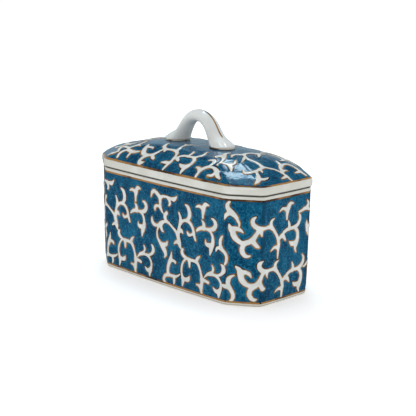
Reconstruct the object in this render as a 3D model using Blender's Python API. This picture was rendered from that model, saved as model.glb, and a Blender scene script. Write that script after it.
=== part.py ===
"""Porcelain trinket box: an octagonal slip-cast box with a domed lift-off lid, a locating flange under the lid and a strap handle.

Units are metres, +Z is up, +X runs along the length. The origin is the middle of the footprint, on the table.
"""

import math

import bmesh
import bpy
from mathutils import Vector

# ---- driving dimensions ----
HALF_LENGTH = 0.100  # outside of the box at the rim
HALF_WIDTH = 0.0468  # at the ends of the long walls
CUT_X = 0.0243  # what the corner panel takes off the long wall
CUT_Y = 0.0177  # and off the end wall
CORNER_LONG = 0.014  # rounding between a long wall and a corner panel
CORNER_END = 0.008  # rounding between a corner panel and an end wall
BOW_LONG = 0.0020  # the long walls swell outwards this much at their middle
BOW_END = 0.0006
TAPER = 0.0015  # the foot is this much further in than the rim
BODY_HEIGHT = 0.0920
WALL = 0.0050
FLOOR_TOP = 0.0065
FOOT_WIDTH = 0.0070  # unglazed standing ring
FOOT_RECESS = 0.0015

SEAT_GAP = 0.0003
LID_OVERHANG = 0.0012
LID_SEAT_Z = BODY_HEIGHT + SEAT_GAP
BAND_TOP_Z = 0.1000
DOME_BASE_Z = 0.0998
DOME_RISE = 0.0182
DOME_POWER = 2.9
DOME_ROUND = 1.22
DOME_INSET = 0.0014  # of the dome's edge inside the band's outline
DOME_THICK = 0.0048
HOLLOW_INSET = 0.0090

FLANGE_GAP = 0.0012  # clearance to the box's mouth
FLANGE_INSET = WALL + FLANGE_GAP
FLANGE_WALL = 0.0028
FLANGE_BOTTOM_Z = 0.0850

HANDLE_X = -0.0036
HANDLE_GAP = 0.00035
FOOT_EDGE = 0.0012  # height of the rounded edge round each foot
# Half of the handle, from its crest to its foot: distance out from the middle, height, lean of the section in degrees
# from level, half thickness, half width, height of the pinched ridge along the outside.
HANDLE_RIBS = (
    (0.0000, 0.1416, 90, 0.0048, 0.0074, 0.0008),
    (0.0071, 0.1402, 68, 0.0048, 0.0076, 0.0008),
    (0.0131, 0.1359, 47, 0.0048, 0.0080, 0.0008),
    (0.0178, 0.1294, 33, 0.0050, 0.0085, 0.0007),
    (0.0214, 0.1240, 27, 0.0061, 0.0092, 0.0005),
    (0.0248, 0.1206, 20, 0.0090, 0.0101, 0.0003),
    (0.0280, 0.1184, 8, 0.0115, 0.0108, 0.0),
)

ARC_STEPS = 4
SECTION_STEPS = 20


def corner_arc(previous, corner, following, radius, steps):
    """Points of the fillet that rounds one corner of a polygon."""
    back = (previous - corner).normalized()
    ahead = (following - corner).normalized()
    half = math.acos(max(-1.0, min(1.0, back.dot(ahead)))) / 2
    reach = radius / math.tan(half)
    centre = corner + (back + ahead).normalized() * (radius / math.sin(half))
    first, last = corner + back * reach - centre, corner + ahead * reach - centre
    sweep = math.pi - 2 * half
    points = []
    for i in range(steps + 1):
        k = i / steps
        a, b = math.sin((1 - k) * sweep), math.sin(k * sweep)
        points.append(centre + (first * a + last * b) / math.sin(sweep))
    return points


def outline(inset):
    """The octagonal plan, anticlockwise from the +X end, moved in by inset, with rounded corners and bowed walls."""
    slant = Vector((CUT_Y, CUT_X)).normalized()
    reach = slant.dot(Vector((HALF_LENGTH - CUT_X, HALF_WIDTH))) - inset
    a, b = HALF_LENGTH - inset, HALF_WIDTH - inset
    on_end = Vector((a, (reach - slant.x * a) / slant.y))
    on_long = Vector(((reach - slant.y * b) / slant.x, b))
    quarter = [(on_end, CORNER_END), (on_long, CORNER_LONG)]
    corners = list(quarter)
    corners += [(Vector((-p.x, p.y)), r) for p, r in reversed(quarter)]
    corners += [(Vector((-p.x, -p.y)), r) for p, r in quarter]
    corners += [(Vector((p.x, -p.y)), r) for p, r in reversed(quarter)]
    points = []
    for i, (corner, radius) in enumerate(corners):
        arc = corner_arc(
            corners[i - 1][0],
            corner,
            corners[(i + 1) % 8][0],
            max(radius - inset, 0.002),
            ARC_STEPS,
        )
        points += arc
        following = corners[(i + 1) % 8][0]
        side = following - corner
        parts = 8 if abs(side.x) > 0.08 else 3 if abs(side.x) < 1e-6 else 1
        if parts > 1:
            trim = side.normalized() * (arc[-1] - corner).length
            start, end = corner + trim, following - trim
            points += [start.lerp(end, j / parts) for j in range(1, parts)]
    long_reach, end_reach = HALF_LENGTH - CUT_X, HALF_WIDTH - CUT_Y
    bowed = []
    for p in points:
        dy = BOW_LONG * max(0.0, 1 - (p.x / long_reach) ** 2)
        dx = BOW_END * max(0.0, 1 - (p.y / end_reach) ** 2)
        bowed.append(Vector((p.x + math.copysign(dx, p.x), p.y + math.copysign(dy, p.y))))
    return bowed


def ring(inset, z):
    return [Vector((p.x, p.y, z)) for p in outline(inset)]


def skin(name, rings, closed_loop, colour, roughness):
    """One closed body through a list of rings of equal count: capped at both ends, or joined end to end."""
    mesh = bpy.data.meshes.new(name)
    bm = bmesh.new()
    loops = [[bm.verts.new(p) for p in points] for points in rings]
    count = len(loops[0])
    pairs = list(zip(loops, loops[1:]))
    if closed_loop:
        pairs.append((loops[-1], loops[0]))
    else:
        bm.faces.new(list(reversed(loops[0])))
        bm.faces.new(loops[-1])
    for lower, upper in pairs:
        for i in range(count):
            j = (i + 1) % count
            bm.faces.new((lower[i], lower[j], upper[j], upper[i]))
    bmesh.ops.recalc_face_normals(bm, faces=bm.faces)
    bm.to_mesh(mesh)
    bm.free()
    mesh.shade_smooth()
    mesh.set_sharp_from_angle(angle=math.radians(40))
    obj = bpy.data.objects.new(name, mesh)
    bpy.context.scene.collection.objects.link(obj)
    material = bpy.data.materials.new(name + "_finish")
    material.use_nodes = True
    shader = material.node_tree.nodes["Principled BSDF"]
    shader.inputs["Base Color"].default_value = (*colour, 1)
    shader.inputs["Roughness"].default_value = roughness
    shader.inputs["Metallic"].default_value = 0
    mesh.materials.append(material)
    return obj


def oval_reach(angle, half_x, half_y):
    """Distance from the middle to a rounded oval in one direction."""
    power = 2.4
    c, s = abs(math.cos(angle)) / half_x, abs(math.sin(angle)) / half_y
    return (c**power + s**power) ** (-1 / power)


def edge_of_dome():
    return outline(DOME_INSET - LID_OVERHANG)


def dome_point(edge, share):
    """A point of the dome over one point of its edge: the plan turns from the octagon into an oval towards the top."""
    angle = math.atan2(edge.y, edge.x)
    half_x = HALF_LENGTH + LID_OVERHANG - DOME_INSET
    half_y = HALF_WIDTH + BOW_LONG + LID_OVERHANG - DOME_INSET
    k = max(0.0, min(1.0, (share - 0.25) / 0.65))
    k = k * k * (3 - 2 * k)
    reach = share * (k * edge.length + (1 - k) * oval_reach(angle, half_x, half_y))
    rise = DOME_RISE * max(0.0, 1 - share**DOME_POWER) ** (1 / DOME_ROUND)
    return Vector((reach * math.cos(angle), reach * math.sin(angle), DOME_BASE_Z + rise))


def edge_towards(x, y):
    """The point of the dome's edge in the direction of x, y."""
    edges = edge_of_dome()
    target = math.atan2(y, x)
    turns = [(math.atan2(p.y, p.x) - target + math.pi) % (2 * math.pi) - math.pi for p in edges]
    for i, turn in enumerate(turns):
        after = turns[(i + 1) % len(turns)]
        if turn <= 0 < after and after - turn < math.pi:
            return edges[i].lerp(edges[(i + 1) % len(edges)], -turn / (after - turn))
    return edges[0]


def dome_height(x, y):
    reach = math.hypot(x, y)
    edge = edge_towards(x, y)
    low, high = 0.0, 1.0
    for _ in range(40):
        middle = (low + high) / 2
        point = dome_point(edge, middle)
        if math.hypot(point.x, point.y) < reach:
            low = middle
        else:
            high = middle
    return dome_point(edge, low).z


def make_box_body():
    rings = [
        ring(TAPER + FOOT_WIDTH + 0.0030, FOOT_RECESS),
        ring(TAPER + FOOT_WIDTH + 0.0012, FOOT_RECESS),
        ring(TAPER + FOOT_WIDTH, 0.0),
        ring(TAPER + 0.0012, 0.0),
        ring(TAPER + 0.0004, 0.0004),
        ring(TAPER, 0.0013),
        ring(TAPER * 0.45, 0.0300),
        ring(TAPER * 0.1, 0.0600),
        ring(0.0, BODY_HEIGHT - 0.0010),
        ring(0.0003, BODY_HEIGHT - 0.0003),
        ring(0.0010, BODY_HEIGHT),
        ring(WALL - 0.0010, BODY_HEIGHT),
        ring(WALL - 0.0003, BODY_HEIGHT - 0.0003),
        ring(WALL, BODY_HEIGHT - 0.0010),
        ring(WALL + TAPER * 0.4, 0.0400),
        ring(WALL + TAPER, FLOOR_TOP + 0.0045),
        ring(WALL + TAPER + 0.0013, FLOOR_TOP + 0.0013),
        ring(WALL + TAPER + 0.0045, FLOOR_TOP),
    ]
    return skin("box_body", rings, False, (0.020, 0.093, 0.205), 0.12)


def make_lid_dome():
    edges = edge_of_dome()
    out = -LID_OVERHANG
    hollow = [
        [dome_point(p, share) - Vector((0, 0, DOME_THICK)) for p in edges]
        for share in (0.10, 0.25, 0.42, 0.58, 0.70)
    ]
    band = [
        ring(HOLLOW_INSET, 0.1015),
        ring(HOLLOW_INSET, LID_SEAT_Z),
        ring(out + 0.0012, LID_SEAT_Z),
        ring(out + 0.0003, LID_SEAT_Z + 0.0007),
        ring(out, LID_SEAT_Z + 0.0020),
        ring(out, BAND_TOP_Z - 0.0022),
        ring(out + 0.0004, BAND_TOP_Z - 0.0008),
        ring(out + DOME_INSET, DOME_BASE_Z),
    ]
    dome = [
        [dome_point(p, share) for p in edges]
        for share in (0.985, 0.96, 0.92, 0.86, 0.78, 0.69, 0.59, 0.48, 0.36, 0.24, 0.10)
    ]
    return skin("lid_dome", hollow + band + dome, False, (0.020, 0.093, 0.205), 0.12)


def make_lid_flange():
    top = LID_SEAT_Z - SEAT_GAP
    inner = FLANGE_INSET + FLANGE_WALL
    rings = [
        ring(FLANGE_INSET, top),
        ring(FLANGE_INSET + 0.0002, FLANGE_BOTTOM_Z + 0.0008),
        ring(FLANGE_INSET + 0.0008, FLANGE_BOTTOM_Z),
        ring(inner - 0.0008, FLANGE_BOTTOM_Z),
        ring(inner - 0.0001, FLANGE_BOTTOM_Z + 0.0008),
        ring(inner, top),
    ]
    return skin("lid_flange", rings, True, (0.72, 0.72, 0.68), 0.2)


def spline(rows, t):
    """A smooth curve through the rows of numbers, at t from 0 to len(rows) - 1."""
    i = min(int(t), len(rows) - 2)
    k = t - i
    p0, p1, p2, p3 = (rows[max(0, min(len(rows) - 1, i + d))] for d in (-1, 0, 1, 2))
    if i == 0:  # the far half mirrors this one at the crest
        p0 = (-rows[1][0], rows[1][1], 180 - rows[1][2], *rows[1][3:])
    return [
        0.5 * (2 * b + (c - a) * k + (2 * a - 5 * b + 4 * c - d) * k * k + (3 * b - a - 3 * c + d) * k**3)
        for a, b, c, d in zip(p0, p1, p2, p3)
    ]


def handle_section(side, t):
    """Points round one section of the handle. side is +1 or -1 for the leg, and t runs from the crest to the foot."""
    x, z, lean, thick, wide, ridge = spline(HANDLE_RIBS, t)
    lean = math.radians(lean)
    last_rib = len(HANDLE_RIBS) - 1
    outward = Vector((math.cos(lean), 0, math.sin(lean)))
    points = []
    for i in range(SECTION_STEPS):
        turn = 2 * math.pi * i / SECTION_STEPS
        c, s = math.cos(turn), math.sin(turn)
        pinch = ridge * max(0.0, c) ** 8 + (0.10 * thick * (c * c - 1) if c > 0 else 0.0)
        p = Vector((x, wide * s, z)) + outward * (thick * c + pinch)
        p.x = HANDLE_X + side * p.x
        if t > 3:  # near the foot the section stays above the dome
            p.z = max(p.z, dome_height(p.x, p.y) + FOOT_EDGE * (1.5 if t < last_rib else 1))
        points.append(p)
    return points


def foot_cap(points, share):
    """The foot's outline drawn in towards its middle, lying just above the dome."""
    middle = sum(points, Vector()) / len(points)
    cap = []
    for p in points:
        q = middle.lerp(p, share)
        cap.append(Vector((q.x, q.y, dome_height(q.x, q.y) + HANDLE_GAP)))
    return cap


def make_lid_handle():
    last = len(HANDLE_RIBS) - 1
    steps = 12
    sections = [handle_section(-1, last * (1 - i / steps)) for i in range(steps)]
    sections += [handle_section(1, last * i / steps) for i in range(steps + 1)]
    start, end = sections[0], sections[-1]
    shares = (0.2, 0.45, 0.7, 0.96)
    rings = [foot_cap(start, share) for share in shares]
    rings += [[Vector((p.x, p.y, dome_height(p.x, p.y) + FOOT_EDGE)) for p in start]]
    rings += sections[1:-1]
    rings += [[Vector((p.x, p.y, dome_height(p.x, p.y) + FOOT_EDGE)) for p in end]]
    rings += [foot_cap(end, share) for share in reversed(shares)]
    return skin("lid_handle", rings, False, (0.66, 0.68, 0.67), 0.1)


for old in list(bpy.data.objects):
    bpy.data.objects.remove(old, do_unlink=True)

make_box_body()
lid_lift = bpy.data.objects.new("lid_lift", None)
lid_lift.location = (0, 0, LID_SEAT_Z)
bpy.context.scene.collection.objects.link(lid_lift)
bpy.context.view_layer.update()
for piece in (make_lid_dome(), make_lid_flange(), make_lid_handle()):
    piece.parent = lid_lift
    piece.matrix_parent_inverse = lid_lift.matrix_world.inverted()
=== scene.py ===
"""Looks of the porcelain trinket box: relief scrolls under a watery blue glaze, pale bands and an off-white strap handle."""

import math

import bmesh
import bpy
import numpy as np
from mathutils import Matrix, Vector


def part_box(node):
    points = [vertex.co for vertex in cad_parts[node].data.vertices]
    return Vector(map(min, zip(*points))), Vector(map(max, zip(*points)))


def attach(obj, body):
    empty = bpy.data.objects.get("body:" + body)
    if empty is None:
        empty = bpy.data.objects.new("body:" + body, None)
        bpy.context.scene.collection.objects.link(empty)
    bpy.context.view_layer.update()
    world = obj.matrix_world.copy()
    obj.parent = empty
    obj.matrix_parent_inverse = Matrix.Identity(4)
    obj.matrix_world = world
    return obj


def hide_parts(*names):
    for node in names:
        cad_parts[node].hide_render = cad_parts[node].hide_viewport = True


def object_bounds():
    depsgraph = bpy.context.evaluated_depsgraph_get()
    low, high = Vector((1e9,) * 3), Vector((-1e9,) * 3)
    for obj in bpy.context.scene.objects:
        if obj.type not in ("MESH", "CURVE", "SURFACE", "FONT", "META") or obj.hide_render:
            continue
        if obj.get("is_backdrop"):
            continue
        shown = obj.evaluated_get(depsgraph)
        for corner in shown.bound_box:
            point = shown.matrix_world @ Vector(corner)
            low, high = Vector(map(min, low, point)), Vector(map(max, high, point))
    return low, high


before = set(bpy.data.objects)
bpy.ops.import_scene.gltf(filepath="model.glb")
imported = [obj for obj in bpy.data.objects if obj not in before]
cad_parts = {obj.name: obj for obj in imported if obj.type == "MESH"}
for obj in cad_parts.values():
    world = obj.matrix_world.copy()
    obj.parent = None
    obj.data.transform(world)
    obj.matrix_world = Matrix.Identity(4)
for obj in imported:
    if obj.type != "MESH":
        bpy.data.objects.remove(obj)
cad_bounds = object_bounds()

# ---------------------------------------------------------------------------
# Dimensions, in millimetres, the same design as the CAD
# ---------------------------------------------------------------------------
MM = 0.001
body_low, body_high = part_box("box_body")
lid_low, lid_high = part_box("lid_dome")
flange_low, flange_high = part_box("lid_flange")
handle_low, handle_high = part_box("lid_handle")

BOW_LONG, BOW_END = 2.0, 0.6
HALF_LENGTH = body_high.x * 1000 - BOW_END
HALF_WIDTH = body_high.y * 1000 - BOW_LONG
CUT_X, CUT_Y = 24.3, 17.7
CORNER_LONG, CORNER_END = 14.0, 8.0
TAPER = 1.5
BODY_TOP = body_high.z * 1000
WALL = 5.0
FLOOR_TOP = 6.5
FOOT_WIDTH, FOOT_RECESS = 7.0, 1.5
OVERHANG = 1.2
SEAT = lid_low.z * 1000
BAND_TOP, DOME_BASE = 100.0, 99.8
DOME_RISE = lid_high.z * 1000 - DOME_BASE
DOME_POWER, DOME_ROUND, DOME_INSET = 2.9, 1.22, 1.4
DOME_THICK, HOLLOW_INSET = 4.8, 9.0
HANDLE_X = -3.6
TOP_LINE, BOTTOM_LINE = 88.3, 3.0


# ---------------------------------------------------------------------------
# Plan outline and dome
# ---------------------------------------------------------------------------
def outline(inset, arc=12, long_steps=110, cut_steps=22, end_steps=40):
    """The octagonal plan moved in by inset: points anticlockwise, as an array, and the index where each corner starts."""
    slant = np.array([CUT_Y, CUT_X]) / math.hypot(CUT_X, CUT_Y)
    reach = slant @ np.array([HALF_LENGTH - CUT_X, HALF_WIDTH]) - inset
    a, b = HALF_LENGTH - inset, HALF_WIDTH - inset
    on_end = np.array([a, (reach - slant[0] * a) / slant[1]])
    on_long = np.array([(reach - slant[1] * b) / slant[0], b])
    quarter = [(on_end, CORNER_END), (on_long, CORNER_LONG)]
    corners = list(quarter)
    corners += [(p * [-1, 1], r) for p, r in quarter[::-1]]
    corners += [(p * [-1, -1], r) for p, r in quarter]
    corners += [(p * [1, -1], r) for p, r in quarter[::-1]]
    arcs = []
    for i, (corner, radius) in enumerate(corners):
        radius = max(radius - inset, 2.0)
        back = corners[i - 1][0] - corner
        ahead = corners[(i + 1) % 8][0] - corner
        back, ahead = back / np.linalg.norm(back), ahead / np.linalg.norm(ahead)
        half = math.acos(back @ ahead) / 2
        middle = back + ahead
        centre = corner + middle / np.linalg.norm(middle) * radius / math.sin(half)
        first = corner + back * radius / math.tan(half) - centre
        last = corner + ahead * radius / math.tan(half) - centre
        sweep = math.pi - 2 * half
        k = np.linspace(0, 1, arc + 1)[:, None]
        arcs.append(
            centre
            + (first * np.sin((1 - k) * sweep) + last * np.sin(k * sweep))
            / math.sin(sweep)
        )
    points, starts = [], []
    for i, points_of_arc in enumerate(arcs):
        starts.append(len(points))
        points += list(points_of_arc)
        run = arcs[(i + 1) % 8][0] - points_of_arc[-1]
        steps = (
            long_steps
            if abs(run[0]) > 80
            else end_steps
            if abs(run[0]) < 1e-6
            else cut_steps
        )
        points += [points_of_arc[-1] + run * j / steps for j in range(1, steps)]
    p = np.array(points)
    bow_y = BOW_LONG * np.maximum(0, 1 - (p[:, 0] / (HALF_LENGTH - CUT_X)) ** 2)
    bow_x = BOW_END * np.maximum(0, 1 - (p[:, 1] / (HALF_WIDTH - CUT_Y)) ** 2)
    return p + np.c_[np.sign(p[:, 0]) * bow_x, np.sign(p[:, 1]) * bow_y], starts


_middle, _starts = outline(0.7)
_steps = np.linalg.norm(np.roll(_middle, -1, 0) - _middle, axis=1)
PERIMETER = _steps.sum()
_along = np.concatenate([[0], np.cumsum(_steps)])
ZERO = _along[_starts[5] + 6]  # the front wall's left corner


def perimeter_points(s, inset):
    """Plan points at distance s along the wall from the front's left corner, for one inset or one inset for each point."""
    s = (np.asarray(s, float) + ZERO) % PERIMETER
    i = np.clip(np.searchsorted(_along, s, side="right") - 1, 0, len(_middle) - 1)
    k = ((s - _along[i]) / _steps[i])[..., None]
    p = outline(inset)[0]
    return p[i] * (1 - k) + p[(i + 1) % len(p)] * k


_edge = outline(DOME_INSET - OVERHANG)[0]
_turn = np.arctan2(_edge[:, 1], _edge[:, 0])
_order = np.argsort(_turn)
_turn = _turn[_order]
_reach = np.hypot(_edge[:, 0], _edge[:, 1])[_order]
_turn = np.concatenate([_turn - 2 * np.pi, _turn, _turn + 2 * np.pi])
_reach = np.tile(_reach, 3)


def dome_reach(turn, share):
    half_x = HALF_LENGTH + OVERHANG - DOME_INSET
    half_y = HALF_WIDTH + BOW_LONG + OVERHANG - DOME_INSET
    oval = (
        (np.abs(np.cos(turn)) / half_x) ** 2.4 + (np.abs(np.sin(turn)) / half_y) ** 2.4
    ) ** (-1 / 2.4)
    k = np.clip((share - 0.25) / 0.65, 0, 1)
    k = k * k * (3 - 2 * k)
    return share * (k * np.interp(turn, _turn, _reach) + (1 - k) * oval)


def dome_share(x, y):
    """0 at the crown, 1 at the dome's edge."""
    turn, far = np.arctan2(y, x), np.hypot(x, y)
    low, high = np.zeros_like(far), np.full_like(far, 1.2)
    for _ in range(34):
        middle = (low + high) / 2
        inside = dome_reach(turn, middle) < far
        low, high = np.where(inside, middle, low), np.where(inside, high, middle)
    return (low + high) / 2


def dome_height(x, y):
    share = np.minimum(dome_share(np.asarray(x, float), np.asarray(y, float)), 1)
    return DOME_BASE + DOME_RISE * (1 - share**DOME_POWER) ** (1 / DOME_ROUND)


# ---------------------------------------------------------------------------
# Scroll ornament. A stroke is a list of (across, up, half width) in millimetres, drawn as a smooth brush line.
# Strokes in one sprig flow into each other; two sprigs stay apart.
# ---------------------------------------------------------------------------
def brush(points, steps=6):
    """Short tapering pieces along a smooth curve through the points: rows of x0, y0, r0, x1, y1, r1."""
    p = np.array(points, float)
    p = np.vstack([2 * p[0] - p[1], p, 2 * p[-1] - p[-2]])
    out = []
    for i in range(1, len(p) - 2):
        a, b, c, d = p[i - 1], p[i], p[i + 1], p[i + 2]
        for k in np.arange(steps) / steps:
            out.append(
                0.5
                * (
                    2 * b
                    + (c - a) * k
                    + (2 * a - 5 * b + 4 * c - d) * k * k
                    + (3 * b - a - 3 * c + d) * k**3
                )
            )
    out.append(p[-2])
    out = np.array(out)
    out[:, 2] = np.maximum(out[:, 2], 0.25)
    return np.hstack([out[:-1], out[1:]])


def shifted(sprig, dx, dy, flip=1):
    return [[(flip * x + dx, flip * y + dy, r) for x, y, r in stroke] for stroke in sprig]


def smooth_min(a, b, width):
    h = np.clip(0.5 + 0.5 * (b - a) / width, 0, 1)
    return b * (1 - h) + a * h - width * h * (1 - h)


FAR = 9.0


def ornament(x, y, sprigs, period=None):
    """Signed distance in millimetres from the points to the ornament: below 0 inside a stroke."""
    x, y = np.asarray(x, float).ravel(), np.asarray(y, float).ravel()
    total = np.full(x.shape, FAR)
    for sprig in sprigs:
        whole = np.full(x.shape, FAR)
        for stroke in sprig:
            one = np.full(x.shape, FAR)
            pieces = brush(stroke)
            low = pieces[:, [0, 1]].min(0) - 6
            high = pieces[:, [0, 1]].max(0) + 6
            turns = (-period, 0, period) if period else (0,)
            for turn in turns:
                near = np.flatnonzero(
                    (x + turn > low[0])
                    & (x + turn < high[0])
                    & (y > low[1])
                    & (y < high[1])
                )
                if not len(near):
                    continue
                px, py = x[near] + turn, y[near]
                best = np.full(len(near), FAR)
                for x0, y0, r0, x1, y1, r1 in pieces:
                    dx, dy = x1 - x0, y1 - y0
                    k = np.clip(
                        ((px - x0) * dx + (py - y0) * dy) / (dx * dx + dy * dy + 1e-9),
                        0,
                        1,
                    )
                    away = np.hypot(px - x0 - k * dx, py - y0 - k * dy)
                    best = np.minimum(best, away - r0 - k * (r1 - r0))
                one[near] = np.minimum(one[near], best)
            whole = smooth_min(whole, one, 0.9)
        total = np.minimum(total, whole)
    return total


# The front wall's repeat: s runs along the wall, z up.
HOOK_TOP = [
    [(63.7, 76.4, 0.6), (65.2, 80.4, 1.4), (68.4, 81.6, 1.7), (72.2, 79.6, 1.9), (75.0, 76.6, 1.9), (75.3, 72.5, 1.5), (75.8, 68.8, 1.6), (77.4, 66.2, 1.2), (78.9, 64.3, 0.6)],
    [(75.2, 77.6, 1.7), (79.5, 79.0, 1.2), (84.5, 79.2, 1.1), (88.5, 78.7, 1.4), (92.0, 78.6, 1.9), (94.3, 80.0, 1.2), (95.7, 82.1, 0.4)],
    [(84.0, 78.8, 1.1), (86.6, 76.8, 1.3), (87.6, 74.4, 1.5), (86.4, 72.6, 0.9)],
    [(75.8, 68.3, 1.2), (73.4, 69.6, 1.1), (70.4, 69.4, 1.3), (68.6, 67.4, 1.4), (68.8, 65.3, 0.7)],
]
MAIN_STEM = [
    [(83.4, 65.4, 1.6), (81.3, 62.6, 1.9), (82.3, 59.2, 1.7), (86.5, 56.9, 1.2), (91.5, 53.6, 1.2), (95.5, 50.6, 1.5), (97.8, 46.2, 2.1), (99.0, 41.4, 2.0), (100.4, 38.2, 1.0)],
    [(83.5, 57.8, 1.1), (79.8, 57.1, 1.4), (76.4, 55.0, 2.1), (73.5, 53.0, 1.6), (69.8, 52.3, 1.4), (66.6, 53.2, 1.7), (64.9, 55.8, 1.5), (64.8, 58.6, 0.6)],
    [(75.6, 54.4, 2.0), (76.6, 51.2, 1.9), (77.8, 48.9, 1.2), (79.3, 48.5, 0.6)],
    [(73.8, 52.4, 1.2), (72.0, 49.5, 0.9), (71.2, 45.8, 1.0), (71.9, 41.6, 1.2), (74.6, 38.2, 1.6), (77.6, 35.4, 2.3), (80.4, 32.2, 2.4), (81.8, 29.2, 1.8), (80.4, 26.1, 0.7)],
    [(76.5, 37.0, 1.6), (80.2, 37.0, 1.8), (83.0, 38.3, 1.6), (84.2, 40.9, 0.5)],
    [(97.3, 49.0, 1.9), (98.1, 53.0, 1.6), (99.0, 57.2, 1.5), (101.0, 60.6, 1.6), (104.6, 62.8, 1.3), (108.6, 63.2, 1.5), (112.6, 61.0, 1.5), (115.0, 57.4, 1.4), (116.0, 53.2, 1.6), (117.8, 48.4, 1.0)],
    [(100.4, 60.6, 1.9), (100.2, 64.6, 1.5), (98.4, 68.4, 0.9)],
    [(107.4, 63.2, 1.4), (110.3, 66.4, 1.8), (110.9, 70.6, 2.1), (109.2, 74.6, 1.8), (105.7, 76.6, 0.7)],
    [(115.2, 53.4, 1.3), (112.4, 51.9, 1.2), (109.8, 51.7, 1.4), (108.3, 53.5, 0.8)],
    [(98.6, 52.6, 1.9), (101.2, 53.6, 1.8), (102.7, 51.7, 0.8)],
    [(98.8, 42.0, 1.7), (95.6, 42.6, 1.5), (92.6, 40.7, 0.7)],
]
HORN = [
    [(80.8, 3.4, 0.9), (79.0, 5.8, 1.5), (80.0, 8.9, 1.4), (83.6, 11.2, 1.6), (88.0, 11.4, 1.4), (92.5, 11.5, 1.4), (96.0, 12.7, 1.0), (98.8, 14.7, 0.7)],
    [(84.9, 11.6, 1.9), (84.3, 15.6, 1.6), (85.1, 20.0, 1.6), (87.2, 24.4, 2.0), (88.7, 28.6, 1.4), (89.2, 33.0, 0.4)],
    [(88.0, 25.2, 1.6), (91.0, 25.3, 1.3), (93.3, 24.5, 1.3), (93.6, 23.0, 0.6)],
    [(91.6, 11.0, 1.4), (92.1, 8.0, 1.4), (91.4, 4.8, 0.8)],
]
LOW_STEM = [
    [(102.9, 37.7, 1.1), (101.9, 35.0, 1.8), (103.8, 32.4, 1.7), (107.6, 30.9, 1.2), (112.0, 30.4, 1.4), (116.6, 30.3, 1.5), (120.0, 29.3, 1.7), (122.2, 26.0, 1.3), (123.8, 21.6, 1.2), (124.8, 17.2, 1.7), (124.9, 13.0, 1.8), (124.0, 8.6, 1.8), (124.4, 3.4, 1.1)],
    [(118.6, 30.6, 1.6), (120.5, 33.6, 1.4), (122.9, 35.8, 0.4)],
    [(110.2, 30.0, 1.9), (110.7, 27.0, 1.6), (110.7, 23.8, 0.8)],
    [(107.0, 30.4, 1.0), (103.6, 27.2, 1.0), (101.6, 22.8, 1.1), (101.0, 18.2, 1.2), (101.9, 14.0, 1.5), (102.7, 10.0, 1.7), (101.8, 5.4, 0.7)],
    [(102.6, 12.4, 1.8), (105.8, 11.9, 1.8), (108.8, 12.7, 1.9), (110.4, 15.6, 0.5)],
    [(124.0, 8.8, 1.9), (121.3, 10.2, 1.3), (118.7, 10.4, 0.6)],
    [(125.0, 16.0, 1.9), (128.8, 15.8, 1.5), (132.3, 15.1, 1.4)],
]
LOW_LEAF = [
    [(127.4, 18.3, 0.5), (129.6, 20.6, 1.0), (133.2, 22.8, 1.6), (137.8, 23.1, 1.3), (142.6, 23.4, 1.2), (146.8, 25.6, 1.4), (149.0, 29.0, 1.9), (148.4, 32.0, 1.5), (146.6, 33.8, 0.6)],
    [(134.0, 23.0, 1.5), (137.0, 25.8, 1.1), (137.8, 28.6, 1.2), (136.4, 31.0, 0.6)],
    [(140.2, 23.0, 1.2), (144.0, 20.8, 1.2), (146.2, 17.2, 1.2), (145.9, 13.2, 1.5), (144.0, 9.4, 2.0), (143.5, 4.4, 0.6)],
    [(144.2, 9.8, 1.9), (140.6, 9.6, 1.7), (137.5, 12.0, 0.5)],
]
TULIP = [
    [(126.2, 69.0, 1.1), (126.3, 72.2, 1.4), (126.7, 75.8, 2.2), (127.5, 78.7, 2.1), (129.5, 80.8, 1.7), (132.8, 80.6, 0.6)],
    [(126.2, 76.6, 1.9), (123.0, 77.9, 1.4), (120.6, 77.9, 1.2), (118.1, 76.7, 0.5)],
]
TULIP_LEAF = [
    [(119.2, 56.8, 0.8), (121.5, 58.7, 1.3), (125.0, 60.2, 1.6), (129.5, 60.4, 1.2), (134.0, 60.7, 1.3), (138.4, 62.2, 2.1), (140.4, 65.6, 1.9), (138.8, 69.0, 1.5), (135.7, 70.2, 0.6)],
    [(127.3, 60.8, 2.1), (127.4, 64.0, 1.6), (125.1, 66.8, 0.6)],
    [(132.0, 60.5, 1.2), (135.5, 58.2, 1.2), (137.4, 54.2, 1.4), (137.3, 49.6, 2.0), (135.6, 45.0, 2.2), (134.2, 38.8, 0.6)],
    [(136.2, 47.4, 2.1), (132.4, 47.2, 2.0), (129.9, 48.0, 1.3), (129.2, 50.8, 0.5)],
]
FLAME = [
    [(147.8, 58.0, 0.5), (146.0, 54.8, 1.5), (145.5, 50.8, 1.6), (147.0, 47.0, 1.9), (149.5, 44.8, 1.4), (151.2, 42.0, 1.3), (151.5, 38.5, 1.2), (150.8, 36.0, 1.1), (150.0, 34.2, 0.6)],
    [(145.2, 47.4, 1.7), (142.6, 47.0, 1.3), (141.2, 45.0, 1.0), (141.0, 43.2, 0.3)],
]
FLAME_LOW = [
    [(158.0, 26.0, 0.5), (155.0, 24.5, 1.4), (153.2, 22.0, 1.9), (153.0, 19.0, 1.9), (153.8, 16.2, 2.1), (155.5, 13.2, 1.7), (157.0, 10.5, 1.6), (157.2, 7.0, 1.5), (156.0, 4.4, 1.3), (154.5, 2.8, 1.2)],
    [(153.0, 16.2, 1.9), (150.5, 15.8, 1.8), (148.2, 16.5, 1.4)],
]
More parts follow.
